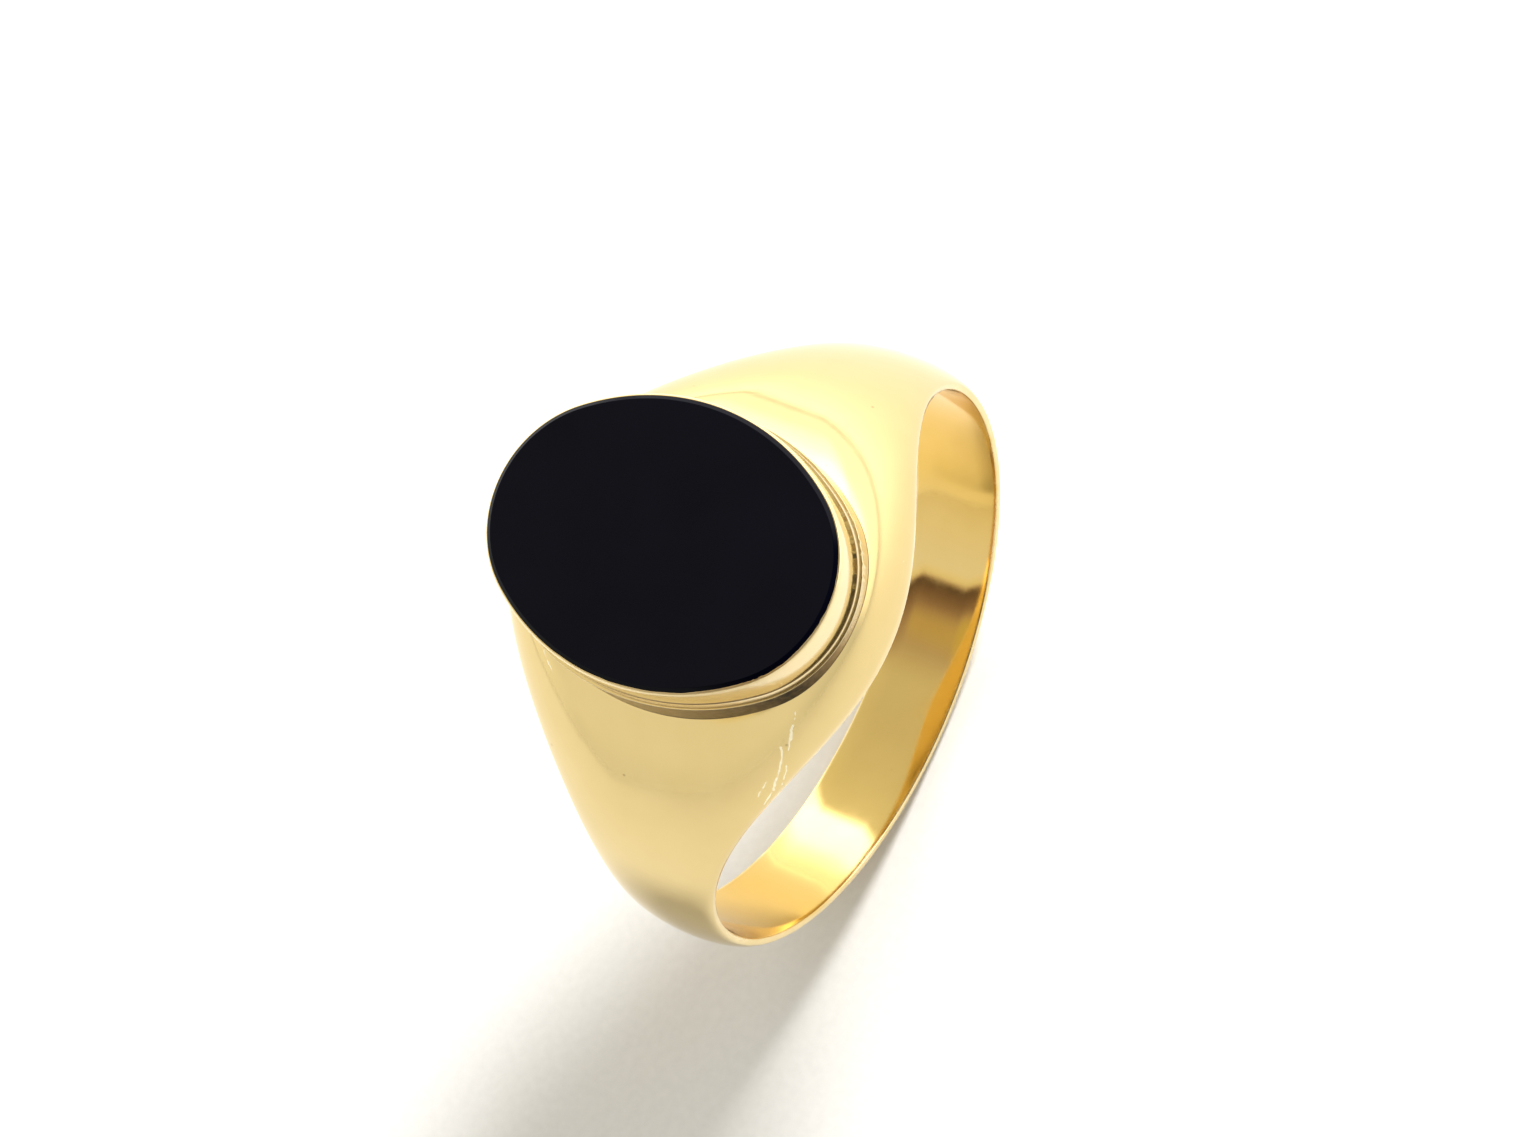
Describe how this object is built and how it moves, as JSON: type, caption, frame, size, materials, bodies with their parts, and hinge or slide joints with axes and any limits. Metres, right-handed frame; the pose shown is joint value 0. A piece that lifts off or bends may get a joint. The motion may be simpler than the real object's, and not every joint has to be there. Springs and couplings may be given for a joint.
{
  "type": "signet ring",
  "caption": "Finger ring with wide tapering shoulders and a flat dark oval stone in a raised two-tier oval bezel.",
  "frame": {"origin": "centre of the finger hole, midway across the band", "axes": "+Z out through the middle of the head, Y along the finger, X round the finger"},
  "size_m": [0.0208, 0.0134, 0.024],
  "materials": {
    "gold_band": "polished yellow gold",
    "gold_bezel": "polished yellow gold",
    "cement": "matt setting cement",
    "onyx": "polished flat black onyx"
  },
  "bodies": {
    "root": {"shank": "gold_band", "bezel_base": "gold_bezel", "bezel_collar": "gold_bezel", "bearing": "gold_bezel", "bedding": "cement", "stone": "onyx"}
  },
  "joints": []
}
